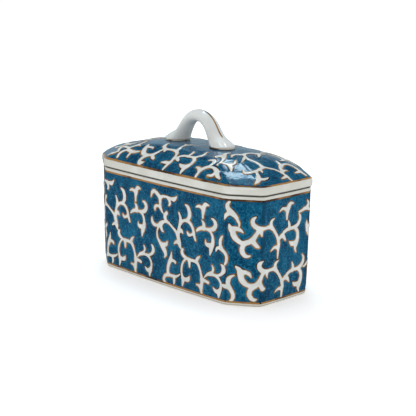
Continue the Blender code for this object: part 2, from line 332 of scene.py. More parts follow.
# The corner panel and the end wall.
CORNER_TOP = [
    [(153.2, 86.8, 1.0), (151.7, 84.5, 1.5), (151.8, 82.2, 1.7), (153.4, 79.8, 2.1), (155.8, 77.4, 2.2), (158.5, 74.8, 1.7), (160.2, 71.8, 1.2), (161.2, 69.5, 1.0), (161.5, 67.0, 0.7)],
    [(154.5, 77.8, 1.8), (152.0, 76.8, 1.7), (150.2, 74.8, 1.3), (149.6, 72.2, 0.4)],
]
END_STEM = [
    [(196.9, 47.8, 1.9), (193.0, 48.2, 1.2), (189.2, 46.0, 0.5)],
    [(198.2, 54.6, 1.5), (201.8, 57.5, 1.5), (206.0, 60.4, 1.6), (211.0, 61.2, 1.4), (216.0, 61.3, 1.6), (220.2, 62.8, 1.9), (222.9, 66.0, 1.6), (223.2, 69.6, 1.3), (221.4, 72.2, 0.5)],
    [(209.8, 61.0, 1.7), (210.0, 64.6, 1.5), (208.8, 67.8, 0.8)],
    [(216.8, 61.0, 1.5), (220.2, 57.6, 1.7), (221.2, 52.6, 1.9), (219.4, 47.2, 2.5), (218.4, 43.4, 1.5), (220.0, 39.5, 0.5)],
    [(218.2, 47.6, 2.2), (214.0, 47.8, 1.9), (210.7, 50.2, 0.5)],
    [(200.8, 56.6, 1.8), (203.8, 55.2, 1.7), (206.1, 52.0, 0.7)],
]
CORNER_STEM = [
    [(153.2, 68.4, 0.8), (154.5, 65.2, 1.9), (156.0, 62.2, 2.2), (157.2, 59.0, 2.4), (159.8, 55.8, 2.1), (163.0, 53.8, 1.9), (167.0, 53.5, 1.8), (170.2, 55.0, 2.0), (173.0, 57.4, 2.0), (174.8, 60.2, 1.7), (176.6, 63.2, 1.6), (178.2, 65.5, 2.0)],
    [(156.8, 65.0, 2.0), (160.5, 64.8, 1.7), (163.2, 63.5, 1.3), (164.8, 61.8, 0.5)],
    [(168.0, 54.2, 2.0), (165.2, 52.0, 1.9), (164.0, 49.0, 2.0), (164.2, 46.0, 2.1), (165.8, 43.5, 1.9), (168.2, 42.4, 1.4), (171.0, 43.2, 0.5)],
    [(171.5, 56.2, 1.9), (173.5, 54.0, 2.0), (175.5, 51.8, 1.7), (177.2, 50.5, 0.9)],
    [(174.8, 75.6, 0.6), (172.4, 73.0, 1.6), (172.4, 70.0, 1.8), (174.5, 67.4, 1.9), (177.5, 66.2, 1.9), (181.5, 66.0, 1.4), (185.5, 66.4, 1.6), (188.0, 66.2, 2.0), (191.4, 63.2, 1.5), (194.2, 59.6, 1.3), (196.8, 54.8, 1.6), (198.0, 50.0, 1.7), (197.6, 45.0, 1.4), (197.2, 38.7, 0.8)],
    [(192.0, 72.7, 0.5), (189.0, 71.2, 1.4), (188.2, 68.8, 1.7), (188.3, 66.6, 2.1)],
    [(178.9, 64.2, 1.6), (179.2, 61.8, 1.1), (179.6, 59.8, 0.5)],
] + END_STEM
CORNER_LOW = [
    [(159.2, 33.5, 0.9), (162.0, 30.8, 2.1), (163.0, 27.0, 2.5), (164.2, 22.8, 2.5), (166.2, 20.0, 2.3), (169.5, 18.2, 1.9), (173.0, 18.0, 1.8), (176.0, 19.0, 2.0), (178.2, 21.0, 2.1), (179.4, 23.8, 1.6), (180.4, 26.5, 1.5), (182.0, 29.2, 2.0)],
    [(164.2, 28.8, 2.4), (167.5, 29.0, 1.6), (170.0, 27.8, 1.5), (171.8, 25.2, 0.5)],
    [(178.6, 19.8, 2.1), (180.4, 17.2, 2.0), (181.5, 15.3, 1.8), (183.4, 15.2, 1.1)],
    [(174.8, 17.4, 1.9), (171.5, 14.8, 1.9), (170.5, 11.2, 2.0), (171.0, 8.8, 2.1), (172.8, 6.6, 1.8), (175.0, 6.1, 1.3), (176.7, 6.7, 0.5)],
    [(185.4, 28.2, 1.6), (185.8, 25.4, 0.9), (186.5, 23.5, 0.4)],
    [(181.5, 39.0, 0.5), (178.9, 37.2, 1.5), (178.1, 34.8, 1.8), (179.3, 32.0, 1.9), (182.0, 30.2, 2.0), (185.6, 29.8, 1.6), (190.0, 30.1, 1.4), (194.4, 29.8, 1.9), (198.0, 26.6, 1.5), (200.8, 22.8, 1.4), (203.4, 18.2, 1.6), (204.7, 13.6, 1.7), (204.3, 8.6, 1.4), (203.9, 2.3, 0.8)],
    [(198.7, 36.3, 0.5), (195.7, 34.8, 1.4), (194.9, 32.4, 1.7), (195.0, 30.2, 2.1)],
] + shifted(END_STEM, 6.7, -36.4)
END_TULIP = [
    [(206.8, 69.8, 1.1), (206.9, 73.0, 1.4), (207.5, 76.8, 2.1), (209.0, 80.4, 2.2), (211.6, 82.4, 1.3), (214.5, 81.6, 0.5)],
    [(207.0, 77.4, 1.8), (203.6, 78.9, 1.4), (200.8, 79.2, 1.2), (197.8, 77.4, 0.5)],
]
END_TOP = [
    [(221.2, 73.6, 0.6), (225.0, 74.0, 1.2), (230.0, 75.3, 1.5), (235.0, 73.8, 1.2), (240.2, 71.2, 1.0), (244.0, 67.6, 1.3), (247.0, 63.4, 1.0)],
    [(231.4, 75.4, 1.7), (233.8, 78.6, 1.4), (231.6, 82.2, 0.5)],
    [(243.6, 68.2, 1.4), (246.4, 70.4, 1.5), (246.6, 73.6, 0.6)],
]
END_FLAME = [
    [(231.8, 64.4, 0.5), (232.4, 60.6, 1.7), (233.6, 56.2, 2.1), (235.8, 50.6, 0.6)],
    [(233.2, 58.6, 1.9), (237.0, 59.8, 1.7), (240.4, 57.6, 1.4), (241.6, 53.8, 0.6)],
]
BACK_SPUR = [
    [(252.8, 36.4, 0.6), (250.2, 33.0, 1.5), (246.4, 30.6, 1.3), (242.4, 29.6, 1.6), (239.4, 26.2, 1.7), (239.0, 21.6, 1.4), (241.4, 17.6, 1.6), (245.6, 16.2, 1.7), (248.0, 18.6, 0.6)],
    [(240.8, 28.4, 1.8), (236.8, 28.4, 1.4), (232.2, 25.4, 1.0), (229.9, 25.3, 0.5)],
    [(240.2, 18.6, 1.7), (238.4, 14.4, 1.6), (238.8, 9.6, 1.7), (241.8, 4.2, 0.6)],
    [(243.4, 30.2, 1.6), (242.6, 34.0, 1.5), (240.2, 37.2, 0.5)],
]

PERIOD = PERIMETER / 2  # the same half turn of ornament is repeated on the far side
WALL_SPRIGS = [HOOK_TOP, MAIN_STEM, HORN, LOW_STEM, LOW_LEAF, TULIP, TULIP_LEAF, FLAME]
WALL_SPRIGS += [shifted(s, -83, 0) for s in (HOOK_TOP, MAIN_STEM, HORN, LOW_STEM, LOW_LEAF, TULIP, TULIP_LEAF)]
WALL_SPRIGS += [CORNER_TOP, CORNER_STEM, END_TULIP, END_TOP, END_FLAME, BACK_SPUR]
WALL_SPRIGS += [CORNER_LOW, FLAME_LOW]

# The dome, in plan: x along the box, y across it.
DOME_SPRIGS = [
    [
        [(-59.9, -45.0, 1.3), (-60.6, -43.6, 1.4), (-59.6, -41.4, 1.3), (-57.0, -39.4, 1.2), (-53.1, -38.6, 1.2), (-48.5, -39.2, 1.6), (-43.8, -39.2, 1.3), (-38.8, -37.8, 0.6)],
        [(-48.0, -44.2, 0.9), (-47.9, -42.7, 1.2), (-47.4, -40.2, 1.4)],
        [(-50.6, -38.7, 1.2), (-55.1, -36.9, 1.3), (-53.9, -34.7, 1.3), (-51.2, -30.3, 1.3), (-50.5, -24.3, 1.2), (-52.2, -16.9, 0.6)],
        [(-51.0, -31.0, 1.5), (-48.5, -30.0, 1.2), (-46.5, -31.0, 0.6)],
        [(-63.6, -41.1, 0.7), (-66.4, -37.6, 1.7), (-68.6, -33.8, 2.2), (-65.2, -32.9, 1.6), (-56.5, -35.9, 1.2)],
        [(-63.8, -40.4, 0.9), (-67.7, -42.4, 1.0), (-71.8, -42.8, 1.0), (-75.0, -44.0, 0.6)],
    ],
    [
        [(-57.0, -21.0, 0.5), (-60.6, -25.4, 1.5), (-65.6, -27.2, 1.6), (-70.6, -25.6, 1.8), (-74.0, -21.6, 1.5), (-74.4, -17.4, 0.5)],
        [(-69.0, -26.4, 1.7), (-72.6, -30.0, 1.4), (-77.6, -31.4, 1.5), (-81.6, -29.6, 0.5)],
        [(-63.0, -26.6, 1.4), (-62.0, -29.8, 0.5)],
    ],
    [
        [(-39.6, -26.8, 0.8), (-37.9, -30.7, 1.6), (-35.7, -35.4, 2.3), (-33.0, -38.5, 2.1), (-28.1, -40.1, 1.5), (-22.2, -39.2, 1.4), (-18.8, -36.5, 1.6), (-17.0, -32.4, 1.3), (-15.1, -29.8, 1.3)],
        [(-37.2, -31.0, 1.9), (-32.6, -30.6, 1.4), (-29.7, -30.9, 1.1), (-27.9, -32.9, 0.4)],
        [(-26.4, -40.4, 1.4), (-28.8, -42.4, 1.6), (-30.4, -44.8, 1.6), (-29.7, -46.4, 1.5), (-26.0, -46.5, 0.9), (-24.2, -45.6, 0.4)],
        [(-21.0, -39.2, 1.5), (-18.3, -41.1, 1.5), (-15.8, -42.1, 0.9)],
        [(-23.3, -17.4, 0.6), (-21.7, -23.4, 1.5), (-18.7, -27.4, 1.6), (-13.9, -29.5, 1.5), (-8.1, -29.0, 1.3), (-3.1, -29.1, 1.7), (1.5, -31.2, 1.6), (3.9, -34.3, 1.3), (5.1, -37.8, 1.4), (5.2, -41.2, 1.5), (3.9, -44.0, 1.3), (2.7, -46.1, 1.2), (1.5, -48.0, 0.8)],
        [(-0.9, -29.7, 1.5), (-2.7, -24.8, 1.2), (-3.9, -19.6, 1.2), (-3.7, -15.2, 1.4), (0.1, -12.5, 1.0), (6.1, -10.2, 0.4)],
        [(-3.7, -15.2, 1.3), (-7.9, -13.3, 0.6)],
        [(-13.5, -31.0, 1.4), (-12.3, -33.6, 0.7)],
        [(3.6, -42.9, 1.3), (-0.4, -42.8, 1.2), (-4.6, -43.5, 0.5)],
        [(5.3, -38.4, 1.3), (7.9, -36.3, 1.2), (10.6, -34.0, 1.3), (14.4, -33.0, 1.3), (19.1, -32.8, 1.4), (24.0, -32.3, 1.4), (27.0, -29.8, 1.4), (28.4, -26.2, 1.2), (26.9, -20.2, 0.5)],
        [(16.9, -32.8, 1.5), (16.9, -29.4, 1.2), (16.4, -26.5, 1.1), (15.3, -25.0, 0.6)],
        [(24.0, -32.8, 1.3), (27.1, -35.9, 1.6), (27.6, -40.0, 1.7), (25.0, -42.9, 1.9), (23.4, -45.8, 1.6), (23.0, -47.6, 0.5)],
        [(24.0, -43.0, 1.8), (19.5, -42.8, 1.4), (16.1, -41.7, 0.5)],
        [(8.6, -37.6, 1.5), (10.8, -38.8, 1.3), (12.2, -39.4, 0.7)],
    ],
    [
        [(40.8, -47.6, 1.1), (41.9, -43.3, 1.5), (44.0, -40.3, 1.6), (47.6, -38.3, 1.4), (51.5, -38.0, 1.2), (55.4, -38.9, 1.5), (59.0, -40.8, 2.0), (61.9, -43.0, 1.6), (66.5, -44.7, 0.5)],
        [(41.5, -42.8, 1.6), (38.5, -41.4, 1.2), (35.4, -41.0, 0.5)],
        [(58.5, -41.5, 1.8), (56.5, -43.8, 1.2), (51.9, -44.6, 0.5)],
        [(46.7, -38.3, 1.2), (47.3, -35.3, 1.2), (46.9, -31.9, 1.7), (44.0, -30.0, 1.6), (40.4, -31.7, 0.7)],
    ],
    [
        [(52.5, -34.5, 0.8), (52.2, -30.3, 0.9), (51.0, -26.7, 1.1), (48.7, -23.0, 1.5), (45.0, -19.2, 2.3), (42.7, -15.5, 1.6), (41.6, -12.0, 1.3), (42.8, -8.8, 0.5)],
        [(44.5, -19.5, 2.0), (42.0, -21.5, 1.5), (40.3, -24.8, 0.5)],
    ],
    [
        [(54.0, -29.6, 1.1), (58.3, -28.9, 1.5), (61.5, -27.3, 1.8), (62.3, -24.0, 1.3), (60.2, -21.3, 1.1), (58.6, -18.2, 0.5)],
        [(61.0, -28.8, 1.8), (65.2, -31.0, 1.7), (68.6, -34.0, 0.7)],
    ],
    [
        [(51.5, -3.5, 1.4), (50.8, 0.0, 1.3), (51.0, 4.5, 1.3), (52.8, 8.5, 1.6), (56.0, 10.8, 1.6), (59.0, 8.3, 1.5), (61.9, 4.7, 0.6)],
        [(53.0, -3.2, 1.2), (50.0, -5.6, 1.1), (48.4, -8.4, 1.2), (48.6, -12.0, 1.4), (50.6, -15.5, 0.6)],
        [(54.5, 12.0, 1.6), (56.5, 15.0, 1.2), (58.0, 17.5, 0.5)],
        [(51.3, -2.0, 1.0), (53.4, -3.6, 1.2), (59.0, -7.0, 1.3), (64.9, -7.5, 1.3), (69.7, -6.7, 1.3), (75.0, -7.4, 1.4), (79.2, -8.9, 1.7), (81.1, -14.3, 1.4), (82.6, -21.3, 1.4), (81.4, -26.4, 1.4), (78.9, -28.9, 1.3), (75.5, -27.7, 0.6)],
        [(58.0, -7.6, 1.4), (61.1, -12.4, 1.2), (64.4, -17.4, 0.5)],
        [(79.0, -8.0, 1.4), (82.1, -4.6, 1.2), (84.8, -1.2, 1.2), (87.8, 0.7, 1.2), (91.2, 1.8, 1.3), (95.2, 3.0, 1.4), (98.5, 3.4, 1.1), (100.4, 5.3, 0.7)],
        [(90.7, 2.9, 1.3), (87.0, 5.0, 1.3), (82.8, 9.6, 1.4), (80.6, 14.9, 1.3), (81.1, 19.0, 1.2), (84.4, 21.2, 1.2), (88.9, 21.9, 1.3), (93.8, 22.4, 1.3), (97.4, 24.0, 1.0)],
        [(83.2, 9.4, 1.4), (77.6, 12.8, 1.2), (73.3, 13.6, 0.5)],
        [(92.9, 22.5, 1.4), (93.1, 18.5, 1.2), (93.4, 15.4, 0.5)],
        [(88.6, 4.8, 1.5), (88.6, 8.0, 1.0), (89.2, 10.0, 0.5)],
        [(95.1, 2.8, 1.5), (95.8, -1.0, 1.1), (96.5, -4.6, 0.4)],
        [(82.5, -20.6, 1.3), (86.6, -22.6, 1.4), (90.4, -25.4, 1.9), (92.8, -28.6, 1.7), (92.8, -32.0, 0.5)],
        [(91.6, -26.6, 1.7), (93.4, -22.6, 1.3), (92.8, -16.4, 0.5)],
        [(80.9, -14.6, 1.3), (83.8, -15.2, 1.3), (86.3, -16.6, 0.5)],
    ],
]


def half_turn(sprig):
    return shifted(sprig, 0, 0, -1)


DOME_ALL = DOME_SPRIGS + [half_turn(s) for s in DOME_SPRIGS]


# ---------------------------------------------------------------------------
# Mesh helpers
# ---------------------------------------------------------------------------
def grid_object(name, rows, attributes, material, closed_rows=False, caps=(True, True), weld=None):
    """A mesh through rows of points, each row closed on itself, in millimetres. attributes maps a name to one value for each point."""
    points = np.array(rows, float)
    count_rows, count = points.shape[:2]
    index = np.arange(count_rows * count).reshape(count_rows, count)
    nxt = np.roll(index, -1, 1)
    quads = np.stack([index[:-1], nxt[:-1], nxt[1:], index[1:]], -1).reshape(-1, 4)
    if closed_rows:
        last = np.stack([index[-1], nxt[-1], nxt[0], index[0]], -1)
        quads = np.vstack([quads, last])
    faces = [list(map(int, q)) for q in quads]
    if not closed_rows:
        if caps[0]:
            faces.append([int(i) for i in index[0][::-1]])
        if caps[1]:
            faces.append([int(i) for i in index[-1]])
    mesh = bpy.data.meshes.new(name)
    mesh.from_pydata((points.reshape(-1, 3) * MM).tolist(), [], faces)
    for key, values in attributes.items():
        attribute = mesh.attributes.new(key, "FLOAT", "POINT")
        attribute.data.foreach_set("value", np.asarray(values, np.float32).ravel())
    bm = bmesh.new()
    bm.from_mesh(mesh)
    if weld:
        bmesh.ops.remove_doubles(bm, verts=bm.verts, dist=weld * MM)
        bmesh.ops.dissolve_degenerate(bm, edges=bm.edges, dist=1e-7)
    bmesh.ops.recalc_face_normals(bm, faces=bm.faces)
    bm.to_mesh(mesh)
    bm.free()
    mesh.shade_smooth()
    mesh.materials.append(material)
    obj = bpy.data.objects.new(name, mesh)
    bpy.context.scene.collection.objects.link(obj)
    return obj


def normals_of(rows):
    """Unit normals of a grid of points whose rows close on themselves."""
    p = np.array(rows, float)
    across = np.roll(p, -1, 1) - np.roll(p, 1, 1)
    up = np.gradient(p, axis=0)
    n = np.cross(across, up)
    length = np.linalg.norm(n, axis=-1, keepdims=True)
    return n / np.maximum(length, 1e-9)


def step(a, b, x):
    k = np.clip((x - a) / (b - a), 0, 1)
    return k * k * (3 - 2 * k)


def relief(scroll, edge):
    """Height of the surface over the bare wall: the scrolls stand proud of the glaze, and a fine groove follows them."""
    inside = step(0.9, -0.9, scroll)
    rise = 0.30 * inside - 0.07 * np.exp(-(((scroll - 0.55) / 0.45) ** 2))
    rise = rise + 0.13 * np.exp(-np.maximum(scroll, 0) / 1.5)
    keep = step(0.3, 2.0, edge)
    line = 0.10 * np.exp(-((edge / 0.7) ** 2))
    return rise * keep + line


# ---------------------------------------------------------------------------
# Materials
# ---------------------------------------------------------------------------
class Nodes:
    """Short hands for building one node material."""

    def __init__(self, name):
        self.material = bpy.data.materials.new(name)
        self.material.use_nodes = True
        self.tree = self.material.node_tree
        self.shader = self.tree.nodes["Principled BSDF"]
        self.coordinates = self.tree.nodes.new("ShaderNodeTexCoord").outputs["Object"]

    def put(self, socket, value):
        if isinstance(value, bpy.types.NodeSocket):
            self.tree.links.new(value, socket)
        else:
            socket.default_value = value

    def math(self, kind, a, b=0.0, clamp=False):
        node = self.tree.nodes.new("ShaderNodeMath")
        node.operation = kind
        node.use_clamp = clamp
        self.put(node.inputs[0], a)
        self.put(node.inputs[1], b)
        return node.outputs[0]

    def ramp(self, value, low, high, to_low=0.0, to_high=1.0):
        node = self.tree.nodes.new("ShaderNodeMapRange")
        node.interpolation_type = "SMOOTHSTEP"
        self.put(node.inputs["Value"], value)
        self.put(node.inputs["From Min"], low)
        self.put(node.inputs["From Max"], high)
        self.put(node.inputs["To Min"], to_low)
        self.put(node.inputs["To Max"], to_high)
        return node.outputs[0]

    def mix(self, factor, a, b):
        node = self.tree.nodes.new("ShaderNodeMix")
        node.data_type = "RGBA"
        self.put(node.inputs["Factor"], factor)
        for socket, colour in ((node.inputs[6], a), (node.inputs[7], b)):
            self.put(socket, colour if isinstance(colour, bpy.types.NodeSocket) else (*colour, 1))
        return node.outputs[2]

    def noise(self, scale, detail=3.0, roughness=0.5, distortion=0.0, stretch=None):
        node = self.tree.nodes.new("ShaderNodeTexNoise")
        node.inputs["Scale"].default_value = scale
        node.inputs["Detail"].default_value = detail
        node.inputs["Roughness"].default_value = roughness
        node.inputs["Distortion"].default_value = distortion
        source = self.coordinates
        if stretch:
            mapping = self.tree.nodes.new("ShaderNodeMapping")
            mapping.inputs["Scale"].default_value = stretch
            self.put(mapping.inputs["Vector"], source)
            source = mapping.outputs[0]
        self.put(node.inputs["Vector"], source)
        return node.outputs["Fac"]

    def attribute(self, name):
        node = self.tree.nodes.new("ShaderNodeAttribute")
        node.attribute_name = name
        return node.outputs["Fac"]

    def bump(self, height, distance, strength=1.0, normal=None):
        node = self.tree.nodes.new("ShaderNodeBump")
        node.inputs["Distance"].default_value = distance
        node.inputs["Strength"].default_value = strength
        self.put(node.inputs["Height"], height)
        if normal is not None:
            self.put(node.inputs["Normal"], normal)
        return node.outputs[0]


def srgb(text):
    """Linear colour of a six-digit sRGB one."""
    out = []
    for i in (0, 2, 4):
        c = int(text[i : i + 2], 16) / 255
        out.append(c / 12.92 if c <= 0.04045 else ((c + 0.055) / 1.055) ** 2.4)
    return tuple(out)


def glazed_ornament(name):
    """Blue glaze with reserved off-white scrolls and brown outlines, pale glaze past the trim lines, bare clay on the
    foot.
    scroll and edge are distances in millimetres to the scrolls and to the trim line; corner is the distance to the
    nearest upright edge, along which a dark reflection is painted into the colour, bare is 1 on unglazed clay, and
    shade is 1 where painted shade darkens the lid's joint, which is also made rough there."""
    n = Nodes(name)
    scroll, edge = n.attribute("scroll"), n.attribute("edge")
    bare, shade, corner = n.attribute("bare"), n.attribute("shade"), n.attribute("corner")
    wander = n.math("MULTIPLY", n.math("SUBTRACT", n.noise(420, 2), 0.5), 0.8)
    wide = n.math("MULTIPLY", n.math("SUBTRACT", n.noise(90, 2), 0.5), 0.8)
    scroll_soft = n.math("ADD", scroll, wander)

    cloud = n.noise(38, 5, 0.62, 0.8)
    streak = n.noise(120, 4, 0.6, 1.2, (1.0, 1.0, 0.35))
    dab = n.noise(230, 3, 0.6, 0.8)
    fine = n.noise(640, 3, 0.65)
    blue = n.mix(n.ramp(cloud, 0.32, 0.68), srgb("033a5a"), srgb("0f5d7f"))
    blue = n.mix(n.ramp(streak, 0.50, 0.72, 0.0, 0.45), blue, srgb("297698"))
    blue = n.mix(n.ramp(streak, 0.48, 0.28, 0.0, 0.50), blue, srgb("022b49"))
    blue = n.mix(n.ramp(dab, 0.54, 0.74, 0.0, 0.50), blue, srgb("237192"))
    blue = n.mix(n.ramp(dab, 0.46, 0.28, 0.0, 0.45), blue, srgb("023051"))
    blue = n.mix(n.ramp(fine, 0.51, 0.70, 0.0, 0.70), blue, srgb("357f9d"))
    blue = n.mix(n.ramp(fine, 0.48, 0.30, 0.0, 0.80), blue, srgb("012038"))
    halo = n.math("MULTIPLY", n.ramp(scroll, 1.0, 1.5), n.ramp(scroll, 2.3, 1.5))
    blue = n.mix(n.math("MULTIPLY", halo, n.ramp(dab, 0.36, 0.62, 0.0, 0.75)), blue, srgb("1e7ca4"))
    # painted reflection: the blue darkens within a few millimetres of each upright edge, standing for the dark room
    # mirrored in the rounded corners
    corner_dark_reflection = n.ramp(n.math("ADD", corner, n.math("MULTIPLY", n.math("SUBTRACT", streak, 0.5), 5.0)), 1.2, 4.2, 0.62, 0.0)
    blue = n.mix(corner_dark_reflection, blue, srgb("022f4c"))
    near_edge = n.ramp(edge, 0.6, 2.4, 0.35, 0.0)
    blue = n.mix(near_edge, blue, srgb("053857"))

    brown = n.mix(n.ramp(n.noise(70, 3, 0.6), 0.35, 0.65), srgb("3b260e"), srgb("a0722f"))
    white = n.mix(n.ramp(n.noise(110, 4, 0.6), 0.35, 0.75), srgb("d8dad5"), srgb("e8e9e6"))
    cream = n.mix(n.ramp(n.noise(45, 4, 0.6), 0.35, 0.75), srgb("d3d2c8"), srgb("e1e0d9"))
    white = n.mix(n.ramp(scroll_soft, -0.9, -0.1, 0.0, 0.30), white, srgb("b5a894"))
    white = n.mix(n.ramp(n.noise(700, 2, 0.6), 0.62, 0.72, 0.0, 0.30), white, srgb("a9a08f"))

    line_edge = n.math("ADD", 0.78, n.math("MULTIPLY", wide, 0.5))
    outside = n.ramp(n.math("SUBTRACT", scroll_soft, line_edge), -0.12, 0.14)
    inside = n.ramp(scroll_soft, -0.16, 0.06, 1.0, 0.0)
    body = n.mix(outside, brown, blue)
    body = n.mix(inside, body, white)

    edge_soft = n.math("ADD", edge, n.math("ADD", n.math("MULTIPLY", wander, 0.5), n.math("MULTIPLY", wide, 0.5)))
    trim = n.mix(n.ramp(n.noise(26, 3, 0.6), 0.36, 0.53), srgb("482b12"), srgb("a67a44"))
    trim = n.mix(n.ramp(n.math("ADD", corner, n.math("MULTIPLY", wide, 2.0)), 0.6, 1.8), srgb("23170e"), trim)
    body = n.mix(n.ramp(edge_soft, 0.62, 0.94), trim, body)
    body = n.mix(n.ramp(edge_soft, -0.92, -0.60), cream, body)
    clay = n.mix(n.ramp(n.noise(300, 5, 0.7), 0.3, 0.7), srgb("9f9584"), srgb("bdb3a0"))
    body = n.mix(bare, body, clay)
    # painted shade: where the attribute shade is 1 the colour turns dark grey-brown, standing for the shadow in the
    # joint between lid and body
    joint_shade_colour = n.mix(n.ramp(n.noise(120, 4, 0.65), 0.35, 0.7), srgb("2b2720"), srgb("57503f"))
    body = n.mix(shade, body, joint_shade_colour)
    n.put(n.shader.inputs["Base Color"], body)

    gloss = n.ramp(n.noise(150, 3, 0.6), 0.3, 0.7, 0.04, 0.09)
    rough = n.math("ADD", gloss, n.math("MULTIPLY", n.math("MAXIMUM", bare, shade), 0.55))
    n.put(n.shader.inputs["Roughness"], rough)
    n.shader.inputs["IOR"].default_value = 1.5
    peel = n.bump(n.noise(70, 3, 0.55, 0.4), 0.0010, 0.45)
    n.put(n.shader.inputs["Normal"], n.bump(n.noise(380, 3, 0.6), 0.00025, 0.35, peel))
    return n.material


def pale_glaze(name):
    """Off-white glaze with a brown painted line where the attribute line is under about half a millimetre."""
    n = Nodes(name)
    line, foot = n.attribute("line"), n.attribute("foot")
    wander = n.math("MULTIPLY", n.math("SUBTRACT", n.noise(260, 2), 0.5), 0.7)
    cloud = n.noise(40, 4, 0.6)
    white = n.mix(n.ramp(cloud, 0.3, 0.7), srgb("d5d8d6"), srgb("e6e7e4"))
    brown = n.mix(n.ramp(n.noise(90, 3), 0.35, 0.65), srgb("4a2c12"), srgb("a07434"))
    ring = n.mix(n.ramp(n.noise(75, 3), 0.38, 0.54), srgb("6f4f30"), srgb("d3c8b6"))
    colour = n.mix(n.ramp(n.math("ADD", foot, n.math("MULTIPLY", wander, 0.5)), 0.9, 1.7), ring, white)
    colour = n.mix(n.ramp(n.math("ADD", line, wander), 0.65, 0.95), brown, colour)
    n.put(n.shader.inputs["Base Color"], colour)
    n.put(n.shader.inputs["Roughness"], n.ramp(n.noise(150, 3, 0.6), 0.3, 0.7, 0.06, 0.13))
    n.shader.inputs["IOR"].default_value = 1.5
    peel = n.bump(n.noise(60, 3, 0.55), 0.0008, 0.35)
    n.put(n.shader.inputs["Normal"], n.bump(n.noise(380, 3, 0.6), 0.0002, 0.25, peel))
    return n.material


ORNAMENT = glazed_ornament("blue_scroll_glaze")
PALE = pale_glaze("pale_glaze")

# ---------------------------------------------------------------------------
# The box
# ---------------------------------------------------------------------------
COLUMNS = 672
s_columns = np.arange(COLUMNS) / COLUMNS * PERIMETER


def wall_inset(z):
    return np.interp(z, [1.3, 30, 60, BODY_TOP - 1.0], [TAPER, TAPER * 0.45, TAPER * 0.1, 0.0])


def wall_row(inset, z):
    return np.c_[perimeter_points(s_columns, inset), np.full(COLUMNS, float(z))]


def make_body():
    rows, scroll, edge, bare, shade = [], [], [], [], []

    def add(points, d=FAR, e=-FAR, b=0.0, shade_and_rough=0.0):
        rows.append(points)
        scroll.append(np.broadcast_to(d, COLUMNS))
        edge.append(np.broadcast_to(e, COLUMNS))
        bare.append(np.broadcast_to(b, COLUMNS))
        shade.append(np.broadcast_to(shade_and_rough, COLUMNS))

    ring_in = TAPER + FOOT_WIDTH
    for inset, z, b in (
        (ring_in + 14, FOOT_RECESS, 0.0),
        (ring_in + 3, FOOT_RECESS, 0.0),
        (ring_in + 1.3, FOOT_RECESS, 0.2),
        (ring_in + 0.5, FOOT_RECESS - 0.5, 0.8),
        (ring_in, 0.0, 1.0),
        (TAPER + 3.0, 0.0, 1.0),
        (TAPER + 1.1, 0.0, 1.0),
        (TAPER + 0.6, 0.15, 1.0),
        (TAPER + 0.25, 0.50, 0.6),
    ):
        add(wall_row(inset, z), b=b)
    z_rows = np.concatenate([np.linspace(1.0, BODY_TOP - 1.3, 112)])
    zz, ss = np.meshgrid(z_rows, s_columns, indexing="ij")
    field = ornament(np.mod(ss, PERIOD), zz, WALL_SPRIGS, PERIOD).reshape(zz.shape)
    trim = np.minimum(TOP_LINE - zz, zz - BOTTOM_LINE)
    # distance to the nearest upright edge, along which a dark reflection is painted into the blue; it reaches widest on
    # the end walls, between the edges at 0 and 7 and at 3 and 4
    corners = _along[np.array(_starts) + 6] - ZERO
    gap = (s_columns[:, None] - corners + PERIMETER / 2) % PERIMETER - PERIMETER / 2
    before = np.where(np.isin(np.arange(8), (0, 4)), 1.0, 2.6)
    after = np.where(np.isin(np.arange(8), (3, 7)), 1.0, 2.6)
    upright = np.where(gap < 0, -gap * before, gap * after).min(1)
    outer = np.array([wall_row(wall_inset(z), z) for z in z_rows])
    normal = normals_of(outer)
    outer = outer + normal * relief(field, trim)[..., None]
    for i in range(len(z_rows)):
        add(outer[i], field[i], trim[i], 0.5 * step(1.9, 1.1, z_rows[i]))
    # the rim's top: its shade values paint shade into the joint under the lid and make it rough
    for inset, z, shade_and_rough in (
        (0.10, BODY_TOP - 0.8, 0.0),
        (0.38, BODY_TOP - 0.35, 0.75),
        (0.75, BODY_TOP - 0.05, 1.0),
        (1.05, BODY_TOP, 0.8),
        (2.5, BODY_TOP, 0.25),
        (WALL - 0.95, BODY_TOP, 0.1),
    ):
        add(wall_row(inset, z), shade_and_rough=shade_and_rough)
    for inset, z in (
        (WALL - 0.40, BODY_TOP - 0.25),
        (WALL - 0.10, BODY_TOP - 0.7),
        (WALL, BODY_TOP - 1.4),
        (WALL + 0.3, 60),
        (WALL + TAPER * 0.4, 40),
        (WALL + TAPER * 0.8, 20),
        (WALL + TAPER, FLOOR_TOP + 5.5),
        (WALL + TAPER + 0.25, FLOOR_TOP + 3.2),
        (WALL + TAPER + 1.1, FLOOR_TOP + 1.3),
        (WALL + TAPER + 2.6, FLOOR_TOP + 0.35),
        (WALL + TAPER + 4.8, FLOOR_TOP),
        (WALL + TAPER + 16, FLOOR_TOP),
    ):
        add(wall_row(inset, z))
    obj = grid_object(
        "box_body_glazed",
        rows,
        {
            "scroll": np.array(scroll),
            "edge": np.array(edge),
            "bare": np.array(bare),
            "shade": np.array(shade),
            "corner": np.tile(upright, (len(rows), 1)),
        },
        ORNAMENT,
    )
    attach(obj, "box")
    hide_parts("box_body")
    return obj


